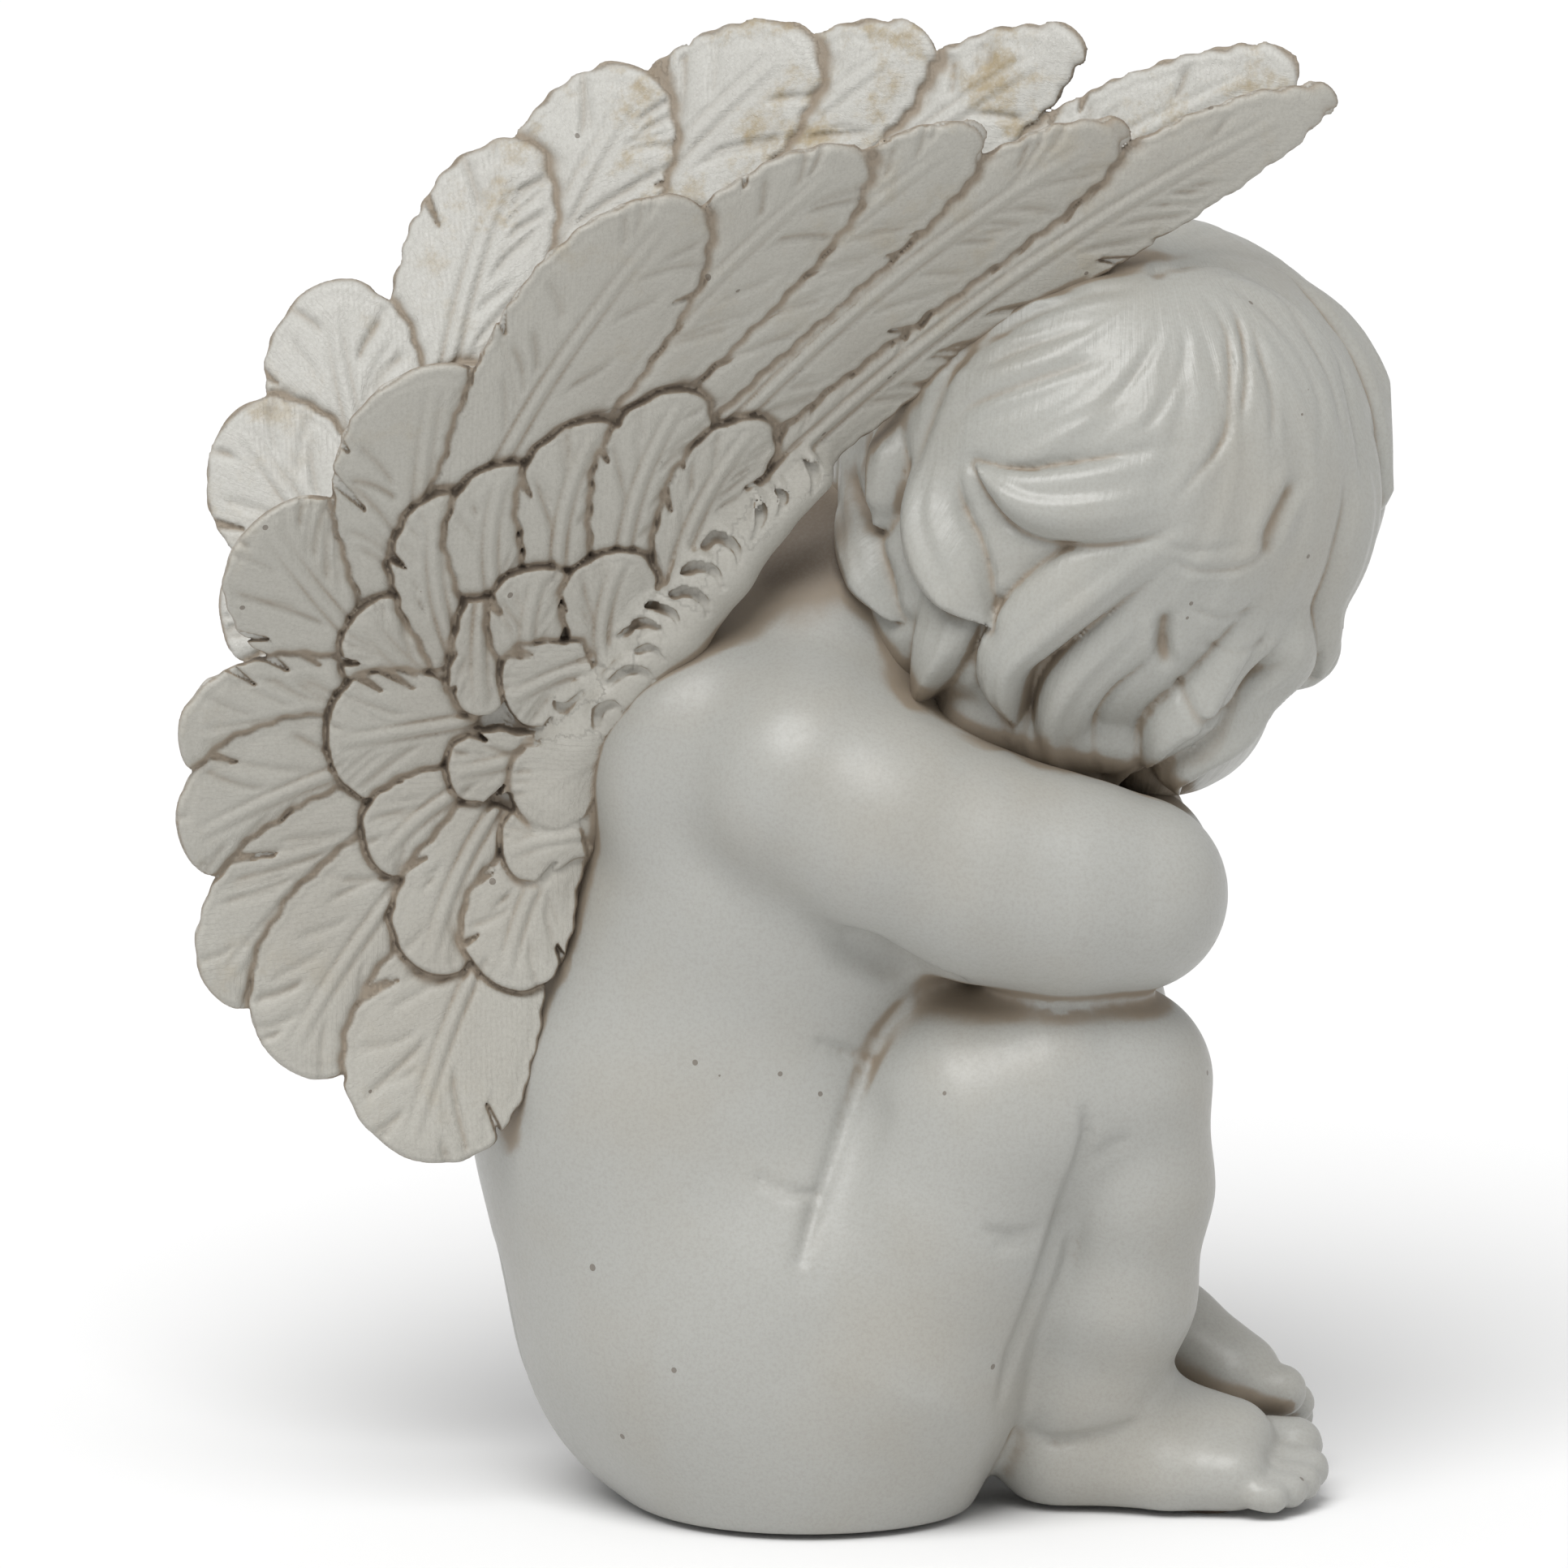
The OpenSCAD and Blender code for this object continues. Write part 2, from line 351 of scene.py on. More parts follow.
def toes(clay, places, knuckle):
    """One rounded toe for each (x, y, z, radius) tip, running out from the ball of the foot."""
    for x, y, z, r in places:
        root_x = x - 0.62 * (x - knuckle[0])
        root_y = y - 0.62 * (y - knuckle[1])
        root_z = z - 0.5 * (z - knuckle[2])
        root = (root_x, root_y, root_z, 0.9 * r)
        clay.limb([root, (x - 1.6 * r, y, z + 0.5, 0.92 * r), (x - 0.7 * r, y, z, r)], 1.2)


# Toe tips as (x, y, z, radius), from the big toe outwards.
RIGHT_TOES = [
    (101.5, -13.5, 10, 5.6), (102.5, -20.5, 6.8, 4.3), (100.5, -26, 5.4, 3.8), (97.5, -30.5, 4.8, 3.5),
    (93.5, -34.5, 4.4, 3.2),
]
LEFT_TOES = [
    (99.5, -3, 18.5, 5.2), (102, 3.5, 14.5, 4.3), (102.5, 9, 10.8, 4), (101, 14, 7.6, 3.8),
    (98, 18.5, 5.4, 3.5),
]


def sculpt_feet(clay):
    clay.limb([(59, -20, 26, 12.5), (50, -16, 12.5, 11.8)], 5)
    clay.limb([(52, -17, 12, 11.5), (68, -19, 15, 11.5), (84, -19, 11.5, 9.5)], 5)
    clay.limb([(54, -19, 10, 9.5), (72, -26, 8, 8), (84, -29, 7.5, 7)], 4)
    toes(clay, RIGHT_TOES, (80, -22, 10))
    clay.limb([(59, 22, 27, 12.5), (52, 18, 14, 11.8)], 5)
    clay.limb([(59, 20, 27, 13.5), (74, 10, 26.5, 11.8), (87, 2, 19.8, 9.8)], 5)
    clay.limb([(58, 22, 15, 12), (76, 16, 14, 9.5), (88, 9, 11, 8)], 5)
    toes(clay, LEFT_TOES, (82, 6, 18))


UPPER_ARM = [
    (0, 31, 147, 23), (16, 35, 139, 22), (34, 37, 131, 21.5), (50, 38, 127, 20.5), (63, 37, 125, 19),
]
FOREARMS = {
    RIGHT: [(63, 34, 125, 17), (67, 12, 126, 13.5), (67, -6, 130, 10.5), (66, -15, 134, 8.5)],
    LEFT: [(61, 34, 124, 17), (57, 10, 125, 13.5), (54, -8, 130, 10.5), (52, -18, 135, 8)],
}
# How much further than the others each finger reaches, from the first finger on.
FINGER_REACHES = (1, 2.5, 1.5, -1.5)
FINGER_PITCH = 5.4


def sculpt_forearm(clay, side):
    """A forearm across the knees, ending in a hand laid on the other arm."""
    clay.limb(both(FOREARMS[side], side), 3.5)
    x, y, z, _ = FOREARMS[side][-1]
    clay.ball((x + LEFT_BACK[side] - 1, side * (y - 6), z + 2), (10, 9, 6.5), 3)
    for i, reach in enumerate(FINGER_REACHES):
        out = 4 - FINGER_PITCH * i
        knuckle = (x + out - 1, y - 9, z + 3, 3.6)
        bend = (x + out, y - 16 - reach, z + 7, 3.3)
        tip = (x + out + 0.5, y - 22 - reach, z + 4, 2.9)
        clay.limb(both([knuckle, bend, tip], side), 0.7)


# Folds of the skin as (radius, depth, [(x, z), ...]), pressed into both sides.
CREASES = [
    (1.3, 1.3, [(53.1, 86), (53.6, 80), (52, 73)]),
    (2.2, 1.1, [(53.4, 78), (52, 71), (49.6, 63), (47, 54), (44, 45), (40.5, 35), (38, 27)]),
    (1.1, 1.0, [(34, 62.5), (39, 61), (44, 61.4)]),
    (0.9, 0.7, [(36, 59.2), (43, 58.6)]),
    (1.4, 1.0, [(41, 17.2), (49, 15.1), (58, 16.6), (65, 19)]),
    (6.5, 0.7, [(11, 84), (-1, 55)]),
    (1.3, 0.8, [(19, 103), (15, 97.5), (11.5, 90), (8, 82), (4.6, 73.5), (1, 64.5), (-2, 56)]),
    (1.3, 0.9, [(61, 79), (57.5, 77.2), (53.8, 73.5)]),
    (1.8, 0.9, [(3, 118.5), (12, 115.5), (20, 112.5), (29, 110)]),
    (0.9, 0.5, [(3, 97), (8, 94.5), (13.5, 92.6)]),
    (0.9, 0.5, [(-9, 71.5), (-3.5, 69), (2, 68)]),
    (5.0, 2.0, [(2, 119.5), (10, 116.5), (18, 113), (27, 110.5)]),
]


# Height of the castings' flat underside, which the felt pads hold off the table.
UNDERSIDE = 1.0


def open_seat(clay):
    """Sinks the recess under the seat that the resin disc is glued into."""
    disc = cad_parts["base_disc"]
    corners = np.array([disc.matrix_world @ Vector(corner) for corner in disc.bound_box]) / MM
    low, high = corners.min(0) - [SHIFT_X, 0, 0], corners.max(0) - [SHIFT_X, 0, 0]
    middle, radius = (low + high) / 2, (high[0] - low[0]) / 2
    room_beside, room_above = 0.4, 0.6

    def distance(x, y, z):
        beside = np.hypot(x - middle[0], y - middle[1]) - radius - room_beside
        return np.maximum(beside, z - high[2] - room_above)

    clay.press(low - 4, high + 4, distance, carve=True)


def body_clay():
    clay = Clay((-72, -64, -6), (114, 64, 206), 0.85 * FINE)
    sculpt_torso(clay)
    for side in SIDES:
        clay.limb(both(UPPER_ARM, side), 6)
    for side in SIDES:
        sculpt_leg(clay, side)
    sculpt_feet(clay)
    for side in SIDES:
        sculpt_forearm(clay, side)
    for side in SIDES:
        for radius, depth, path in CREASES:
            clay.crease(path, side, radius, depth)
    clay.press(
        (-80, -80, -20), (120, 80, UNDERSIDE),
        lambda x, y, z: z - UNDERSIDE + 0 * (x + y), 0.6, carve=True,
    )
    open_seat(clay)
    return clay


# ---------------- head and hair

# The hair is drawn on a flattened map of each half of the head: u runs forwards and v upwards from
# a point over the ear, in mm along the scalp.
HEAD_CENTRE = (65.0, 0.0, 196.0)
HEAD_RADIUS = 48.0
CROWN = (5, 54)
# Thickness of the combed hair under the locks, and how far from the skull the hair is worked.
CAP = 3.0
HAIR_SHELL = 12.0
# The left half's locks are the right half's, turned and shortened a little.
LEFT_TURN = math.radians(7)
LEFT_SHORTER = 0.96

# Limb under the locks on each side, which closes the gap between the hair and the arm.
UNDER_HAIR = [(34, 25, 159, 7.5), (48, 27.5, 156.5, 8), (62, 25, 153.5, 7.5)]

# Locks as (thickness, [(u, v, half width), ...] from root to tip), each laid over the ones before it.
LOCKS = [
    (2.4, [(6, 54, 3), (41, 66, 6), (60, 48, 8), (68, 26, 8), (68, 8, 6), (58, -4, 1)]),
    (2.6, [(36, 28, 9), (52, 12, 8), (52, -8, 8), (48, -24, 6), (44, -40, 1)]),
    (3.0, [(-66, 46, 5), (-74, 23, 6), (-79, 2, 6), (-76, -12, 6), (-68, -26, 5), (-62, -40, 0.5)]),
    (5.0, [(-59, 26, 3), (-65, 12, 4), (-65, 3, 5), (-56, -8, 5.5), (-46, -18, 0.4)]),
    (4.0, [(-53, 28, 3), (-52, 16, 4), (-51.5, 7, 3.4), (-52.4, 1, 2)]),
    (5.0, [(44, -12, 5), (36, -34, 5), (26, -41, 6), (14, -43, 5.5), (7, -48, 4.5), (9.5, -58, 0.5)]),
    (4.6, [(37, -8, 6), (26, -24, 6), (14, -36, 5.5), (5, -42, 4.2), (0, -52, 0.5)]),
    (5.2, [(-33, -4, 4), (-37, -12, 5), (-37, -20, 5.6), (-42, -37, 0.4)]),
    (6.0, [(12, -4, 5), (-1, -18, 7), (-12, -28, 6.8), (-15, -41, 5.5), (-8, -55, 4), (0, -49, 0.5)]),
    (6.2, [(14, 10, 6), (-5, -3, 7.6), (-19, -14, 7.4), (-25.6, -24, 5.2), (-23, -40, 0.4)]),
    (6.0, [(-38, 26, 4), (-41, 14, 5), (-41, 4, 6), (-36, -6, 6.2), (-28, -16, 0.4)]),
    (4.6, [(16, 14, 7), (2, 10, 8), (-10, 8, 7.8), (-20, 8, 6.6), (-27, 11, 3.6), (-32, 14.5, 0.4)]),
]

# Grooves as (depth, width, [(u, v), ...]).
GROOVES = [
    (0.8, 0.9, [(14, 49), (17.7, 40), (17.5, 30), (15.7, 20), (9, 12), (2, 5)]),
    (0.8, 0.9, [(18, 49), (21.3, 41), (20.5, 29), (18, 19)]),
    (0.6, 0.9, [(22, 46), (25, 36), (26.5, 26), (25, 15)]),
    (0.5, 0.8, [(12, 52), (28, 53), (38, 40), (43, 26), (44, 10)]),
    (0.4, 0.9, [(10, 50), (22, 50), (33, 38), (38, 24), (36, 10)]),
    (0.6, 1.1, [(3, 54), (-11, 53), (-21, 49), (-34, 42)]),
    (0.5, 0.9, [(2, 50), (-12, 47), (-24, 42), (-36, 34)]),
    (0.7, 1.0, [(-5, 36), (-20, 31), (-32, 26), (-40, 20)]),
    (0.5, 0.9, [(-8, 42), (-22, 37), (-34, 31)]),
    (0.8, 1.0, [(-31, 41), (-38, 30), (-43, 18), (-45, 8)]),
    (0.4, 0.8, [(6, 46), (2, 36), (-8, 26), (-20, 20)]),
    (0.4, 0.8, [(10, 44), (8, 34), (2, 24), (-8, 17)]),
    (1.6, 1.7, [(33, 12), (29.5, 7.5), (26.6, 2), (25.8, -2), (27.6, -7)]),
    (1.9, 1.6, [(5, -14), (4.3, -21), (5.4, -29)]),
    (1.0, 1.0, [(7, -30), (12, -37), (22, -38)]),
    (0.6, 0.8, [(4, -2), (10, -6), (21, -6), (31, 2)]),
    (0.4, 0.8, [(0, 1), (10, -2), (22, -1)]),
    (0.5, 0.8, [(8, -14), (18, -18), (30, -16)]),
    (0.5, 0.8, [(10, -22), (20, -26), (32, -24)]),
]
PARTING = [(6, 54), (20, 57), (36, 50), (46, 37), (49, 22), (50, 9), (51, 1)]


def smooth_line(points, pieces=6):
    """Points along a smooth curve through the given ones, with any further values carried along."""
    points = np.array(points, float)
    ends = np.concatenate([2 * points[:1] - points[1:2], points, 2 * points[-1:] - points[-2:-1]])
    line = []
    for i in range(1, len(ends) - 2):
        a, b, c, d = ends[i - 1:i + 3]
        square, cube = 2 * a - 5 * b + 4 * c - d, 3 * b - a - 3 * c + d
        for t in np.arange(pieces) / pieces:
            line.append(0.5 * (2 * b + (c - a) * t + square * t ** 2 + cube * t ** 3))
    line.append(points[-1])
    return np.array(line)


def along_line(u, v, line):
    """For each map point: share of the way along the line, signed distance from it, segment width."""
    steps = np.hypot(np.diff(line[:, 0]), np.diff(line[:, 1]))
    run = np.concatenate([[0], np.cumsum(steps)])
    near = np.full(u.shape, 1e3)
    share, width, sign = np.zeros(u.shape), np.ones(u.shape), np.ones(u.shape)
    for i, step in enumerate(steps):
        du, dv = (line[i + 1, :2] - line[i, :2]) / step
        t = np.clip((u - line[i, 0]) * du + (v - line[i, 1]) * dv, 0, step)
        off_u, off_v = u - line[i, 0] - t * du, v - line[i, 1] - t * dv
        gap = np.hypot(off_u, off_v)
        closer = gap < near
        near = np.where(closer, gap, near)
        share = np.where(closer, (run[i] + t) / run[-1], share)
        sign = np.where(closer, np.sign(du * off_v - dv * off_u), sign)
        if line.shape[1] > 2:
            width = np.where(closer, line[i, 2] + (line[i + 1, 2] - line[i, 2]) * t / step, width)
    return share, near * sign, width


def lay_lock(u, v, maps, lock, seed):
    rng = np.random.default_rng(seed)
    thick, points = lock
    share, across, half = along_line(u, v, smooth_line(points))
    place = np.clip(across / np.maximum(half, 0.3), -1, 1)
    outline = np.abs(across) - half
    crown = np.sqrt(1 - place ** 2)
    strands = np.zeros(u.shape)
    for count in (2.2, 3.7, 6.1):
        wave = np.sin(count * np.pi * place + rng.uniform(0, 6) + rng.uniform(-3, 3) * share)
        strands += wave * (0.34 / count)
    rise = smooth_step(0.0, 0.7, share) * (1 - 0.6 * smooth_step(0.8, 1.0, share))
    ridge = np.exp(-((place - 0.35 * math.sin(3 * seed)) / 0.45) ** 2)
    form = CAP - 0.8 + thick * rise * (0.75 * crown + 0.35 * ridge)
    form = form + 0.6 * crown + 1.5 * strands * crown
    shows = smooth_step(0.05, 0.5, share)
    edge = smooth_step(0.8, -0.8, outline) * shows
    groove = np.exp(-(np.maximum(outline, 0) / 1.6) ** 2) * shows
    maps["height"] = (maps["height"] - 1.3 * groove) * (1 - edge) + form * edge
    maps["wash_and_shade"] = np.maximum(maps["wash_and_shade"], 0.6 * groove ** 2) * (1 - edge)


def cut_groove(u, v, maps, groove):
    depth, width, points = groove
    share, across, _ = along_line(u, v, smooth_line(points))
    taper = smooth_step(0, 0.25, share) * smooth_step(1, 0.7, share)
    away = np.abs(across)
    bed = np.exp(-(away / width) ** 2)
    banks = np.exp(-((away - 2.1 * width) / width) ** 2)
    maps["height"] -= depth * taper * (bed - 0.35 * banks)
    maps["wash_and_shade"] = np.maximum(maps["wash_and_shade"], 0.5 * min(depth, 1.2) * taper * bed)


def hair_map(side):
    """Hair height and antique wash over one half of the scalp, with the grid they are laid on."""
    step = 0.6 * FINE
    line = np.arange(-86, 86 + step, step)
    u, v = np.meshgrid(line, line, indexing="ij")
    if side == LEFT:
        c, s = math.cos(LEFT_TURN), math.sin(LEFT_TURN)
        u, v = u * c - v * s, (u * s + v * c) * LEFT_SHORTER
    out_u, out_v = u - CROWN[0], v - CROWN[1]
    reach = np.hypot(out_u, out_v)
    bearing = np.arctan2(out_v, out_u) + 0.012 * reach
    height = np.full(u.shape, CAP)
    rng = np.random.default_rng(11 + side)
    for count in (17, 29, 43, 71):
        start = count * bearing + rng.uniform(0, 6)
        wave = np.sin(start + 1.2 * np.sin(reach / 17 + rng.uniform(0, 6)))
        height += wave * 4.4 / count * smooth_step(3, 30, reach)
    if side == RIGHT:
        share, across, _ = along_line(u, v, smooth_line(PARTING))
        held = smooth_step(0, 0.08, share) * smooth_step(1, 0.92, share)
        height -= held * (0.9 * smooth_step(-1.2, 1.2, across) + 1.2 * np.exp(-(across / 1.1) ** 2))
    maps = {"start": (line[0], line[0]), "step": step, "height": height, "wash_and_shade": np.zeros(u.shape)}
    for seed, lock in enumerate(LOCKS):
        lay_lock(u, v, maps, lock, seed + 40 * (side == LEFT))
    for groove in GROOVES:
        cut_groove(u, v, maps, groove)
    maps["height"] -= 1.6 * np.exp(-((u - CROWN[0]) ** 2 + (v - CROWN[1]) ** 2) / 4)
    return maps


def grid_place(maps, u, v):
    """Where points of a map lie on its grid, counted in samples."""
    places = []
    for value, start, count in zip((u, v), maps["start"], maps["height"].shape):
        places.append(np.clip((value - start) / maps["step"], 0, count - 1.001))
    return places


def nearest(maps, key, u, v):
    """A map's value at the nearest sample."""
    a, b = grid_place(maps, u, v)
    return maps[key][np.round(a).astype(int), np.round(b).astype(int)]


def read_map(maps, key, u, v):
    """A map's value between its samples."""
    grid = maps[key]
    a, b = grid_place(maps, u, v)
    i, j = a.astype(int), b.astype(int)
    a, b = a - i, b - j
    low = grid[i, j] * (1 - b) + grid[i, j + 1] * b
    high = grid[i + 1, j] * (1 - b) + grid[i + 1, j + 1] * b
    return low * (1 - a) + high * a


def over_scalp(maps, key, points):
    """A value of the two scalp maps at points in space, blended where the halves meet."""
    place = points - HEAD_CENTRE
    place /= np.linalg.norm(place, axis=1)[:, None]
    flat = np.maximum(np.hypot(place[:, 0], place[:, 2]), 1e-6)
    total = np.zeros(len(place))
    for side in SIDES:
        share = smooth_step(-0.1, 0.1, side * place[:, 1])
        turn = HEAD_RADIUS * np.arccos(np.clip(side * place[:, 1], -1, 1)) / flat
        total += share * read_map(maps[side], key, turn * place[:, 0], turn * place[:, 2])
    return total


def head_clay():
    clay = Clay((6, -60, 136), (126, 60, 262), 0.7 * FINE)
    clay.ball((63, 0, 202.5), (51, 45, 46), 0)
    clay.ball((46, 0, 182), (36, 40, 32), 8)
    clay.ball((62, 0, 178), (32, 37, 30), 8)
    clay.ball((72, 0, 160), (19, 30, 20), 6)
    clay.limb([(93, -24, 172, 4.5), (98, -12, 168.5, 5), (99, 2, 168, 5.5), (96, 20, 170, 5)], 5)
    shell = np.argwhere(np.abs(clay.field) < HAIR_SHELL)
    place = np.stack([axis[shell[:, i]] for i, axis in enumerate(clay.axes)], 1)
    maps = {side: hair_map(side) for side in SIDES}
    clay.field[tuple(shell.T)] -= over_scalp(maps, "height", place)
    for side in SIDES:
        clay.limb([(x, side * y, z, r) for x, y, z, r in UNDER_HAIR], 1.5)
    return clay, maps


# ---------------- wings

ROOT_X, ROOT_Z, ROOT_OUT = -20.0, 160.0, 16.0


def fan_angle(x, z):
    angle = np.degrees(np.arctan2(z - ROOT_Z, x - ROOT_X))
    return np.where(angle < -60, angle + 360, angle)


def sheet(x, z):
    """How far out from the middle plane the wing's mid-surface lies."""
    angle = fan_angle(x, z)
    widest = 112
    front = 0.53 * np.cos(np.radians(np.minimum(90, (widest - angle) * 1.06))) ** 2
    back = 0.11 + 0.42 * np.cos(np.radians(np.minimum(90, (angle - widest) * 0.783))) ** 2
    flare = np.where(angle < widest, front, back)
    reach = np.hypot(x - ROOT_X, z - ROOT_Z)
    return ROOT_OUT + flare * 100 * (reach / 100) ** 1.15


# Feathers as (quill x, quill z, tip x, tip z, width, bend), each laid over the ones before it.
# A positive bend bows to the left of the run from quill to tip.
FLIGHT = [
    (-14, 199, 103, 279.5, 22, 7),
    (-25, 206, 62, 275.5, 23, 6),
    (-38, 208, 33, 278, 25, 6),
    (-54, 204, 9, 276, 28, 5),
    (-76, 168, -106, 207, 33, 2),
    (-72, 176, -72, 237, 35, 3),
    (-66, 198, -25, 269, 32, 4),
    (-72, 164, -121, 160, 29, 0),
    (-72, 155, -120.5, 138, 30, -2),
    (-70, 147, -113.5, 107, 30, -3),
    (-62, 142, -100, 91.5, 33, -3),
    (-54, 126, -76, 73, 37, -2),
]
LEFT_FLIGHT = [
    (-14, 199, 102, 277, 22, 7),
    (-25, 206, 60, 279.5, 23, 6),
    (-38, 208, 31, 278.5, 25, 6),
    (-54, 204, 9, 277, 28, 5),
    (-58, 198, -21.5, 268.5, 29, 3),
    (-66, 186, -46, 254.5, 27, 4),
    (-70, 176, -84, 228.5, 31, 3),
    (-72, 168, -103, 204, 31, 2),
    (-70, 164, -107, 171, 27, 0),
    (-70, 155, -106, 142, 27, -2),
    (-68, 147, -100, 112, 27, -3),
    (-62, 142, -90, 97, 30, -3),
    (-54, 126, -72, 79, 34, -2),
]
COVERTS = [
    (-66, 164, -86, 185, 20, 2),
    (-66, 172, -71, 209, 17, 3),
    (-58, 180, -58, 215, 18, 3),
    (-47, 186, -40, 223, 20, 3),
    (-35, 188, -23, 228, 20, 3),
    (-25, 184, -8, 220, 17, 3),
    (-62, 160, -92, 157, 27, 0),
    (-62, 147, -82, 131, 19, -2),
    (-58, 142, -72, 109, 20, -2),
    (-45, 136, -57, 106, 22, -2),
]
SMALL_COVERTS = [
    (-62, 186, -61, 160, 12, -1),
    (-52, 168, -50, 192, 17, 2),
    (-38, 170, -34, 194, 18, 2),
    (-40, 170, -57, 163, 18, -1),
    (-42, 136, -57, 132, 15, -1),
    (-50, 152, -68, 149, 15, 0),
    (-36, 153, -54, 141, 18, -1),
]


def feather_local(f, x, z):
    """Distances along and across a feather's shaft, its length, and the distance to its outline."""
    quill_x, quill_z, tip_x, tip_z, width, bend = f
    length = math.hypot(tip_x - quill_x, tip_z - quill_z)
    ux, uz = (tip_x - quill_x) / length, (tip_z - quill_z) / length
    along = (x - quill_x) * ux + (z - quill_z) * uz
    share = np.clip(along / length, 0, 1)
    across = -(x - quill_x) * uz + (z - quill_z) * ux - bend * 4 * share * (1 - share)
    half = width / 2
    broad = 0.62
    body = np.abs(across) - half * (0.62 + 0.38 * smooth_step(0, broad, share))
    tip_run = (along - broad * length) / ((1 - broad) * length)
    tip = (np.sqrt((across / half) ** 2 + np.maximum(tip_run, 0) ** 2.3) - 1) * half
    outline = np.where(along < broad * length, body, tip)
    outline = np.maximum(outline, -along)
    return along, across, length, outline


def lay_feather(maps, f, number, lift, thick, seed):
    """Lays one feather over those already on the wing's outer or inner height map."""
    rng = np.random.default_rng(seed)
    along, across, length, outline = feather_local(f, maps["x"], maps["z"])
    half = f[4] / 2
    wander = 0.4 * np.sin(along * 0.9 + rng.uniform(0, 6)) * np.sin(along * 0.37 + rng.uniform(0, 6))
    outline = outline + wander
    for _ in range(3):
        side = rng.choice((-1, 1))
        start = rng.uniform(0.45, 0.9) * length
        line = (along - start) - (np.abs(across) - half) * 1.1
        depth = rng.uniform(0.12, 0.4) * half
        slit = np.abs(line) * 0.7 - 0.9 * np.clip((np.abs(across) - half + depth) / depth, 0, 1.5)
        slit = np.where(across * side > 0, slit, 9)
        slit = np.where(np.abs(across) > half - depth, slit, 9)
        outline = np.maximum(outline, -slit)
    inset = np.clip(-outline, 0, 6)
    rim = 0.55 * np.exp(-((inset - 0.9) / 0.8) ** 2)
    crown = np.sqrt(np.clip(1 - (across / (half + 1.5)) ** 2, 0, 1)) * smooth_step(-1.5, 3.5, inset)
    height = lift + thick * crown + rim
    shaft = np.clip(1 - along / (0.92 * length), 0, 1) ** 0.4
    quill_groove = np.exp(-((np.abs(across) - 1.6) / 0.6) ** 2)
    height = height + shaft * (0.5 * np.exp(-(across / 0.8) ** 2) - 0.8 * quill_groove)
    barbs = np.zeros(along.shape)
    for _ in range(int(5 + length / 7)):
        side = rng.choice((-1, 1))
        start = rng.uniform(0.12, 0.85) * length
        bow = rng.uniform(1.4, 2.6)
        v = across * side
        first, last = rng.uniform(0.1, 0.3) * half, rng.uniform(0.6, 0.95) * half
        line = (along - start - v * bow + 0.05 * v * v) / math.hypot(1, bow)
        fade = smooth_step(first, first + 1.5, v) * smooth_step(last, last - 2.5, v)
        barbs = np.maximum(barbs, rng.uniform(0.45, 1) * fade * np.exp(-(line / 0.65) ** 2))
    height = height - 1.0 * barbs
    edge = np.clip(0.5 - outline / (1.2 * maps["step"]), 0, 1)
    groove = np.exp(-(np.maximum(outline, 0) / 1.3) ** 2)
    maps["height"] = (maps["height"] - 1.4 * groove) * (1 - edge) + height * edge
    inked = np.maximum(0.6 * shaft * quill_groove, 0.4 * barbs)
    inked = np.maximum(inked, 0.5 * np.exp(-(inset / 0.5) ** 2))
    maps["wash_and_shade"] = np.maximum(maps["wash_and_shade"], 0.9 * groove) * (1 - edge) + inked * edge
    maps["outline"] = np.minimum(maps["outline"], outline)
    for key, value in (("along", along), ("across", across), ("feather", number)):
        maps[key] = np.where(outline < 0, value, maps[key])


def wing_maps(x, z, voxel):
    shape = np.broadcast(x, z).shape
    return {
        "x": x, "z": z, "start": (x[0, 0], z[0, 0]), "step": voxel,
        "height": np.full(shape, 0.6), "wash_and_shade": np.zeros(shape),
        "outline": 30 * (np.hypot((x + 46) / 30, (z - 164) / 34) - 1),
        "along": np.zeros(shape), "across": np.zeros(shape), "feather": np.zeros(shape),
    }


# The smooth ridge along the wing's arm, and the curled nicks cut where its short feathers start.
ARM_RIDGE = [
    (-47, 20, 144, 6), (-43, 21, 154, 7.5), (-36, 22.5, 164, 8), (-25, 25, 177, 8), (-16, 27, 189, 7.5),
    (-8, 28, 199, 6.5), (2, 29, 207, 4.5),
]
ARM_NICKS = [
    (1.2, [(1, 211), (2.6, 208), (2, 204)]),
    (1.0, [(-5, 206), (-3.6, 203), (-4.6, 200)]),
    (1.2, [(-9, 204), (-8, 200), (-9.6, 195.5)]),
    (1.3, [(-19, 194), (-16.5, 196.4), (-13, 194), (-12.4, 191)]),
    (1.3, [(-24, 187), (-21, 190.4), (-17, 189.4), (-15.4, 186)]),
    (1.3, [(-26, 184), (-22, 185.6), (-19, 183.4), (-18.2, 180.6)]),
    (1.2, [(-32, 180), (-29, 182.4), (-25, 181), (-23.6, 177.8)]),
    (1.0, [(-35, 176), (-31, 179), (-28, 178.4), (-27, 176)]),
    (0.9, [(-32, 173.2), (-29, 174.2), (-26.6, 171.6)]),
    (1.1, [(-37, 167), (-33.6, 169.6), (-30.2, 169.2), (-28.6, 167.4)]),
    (1.2, [(-39.5, 158), (-39, 161.6), (-36.4, 162.8), (-34.2, 161)]),
    (1.0, [(-36.6, 154), (-36, 156.4), (-33.4, 158.6), (-31, 158.4)]),
    (1.1, [(-47, 163), (-45.6, 161.4), (-42, 165)]),
]


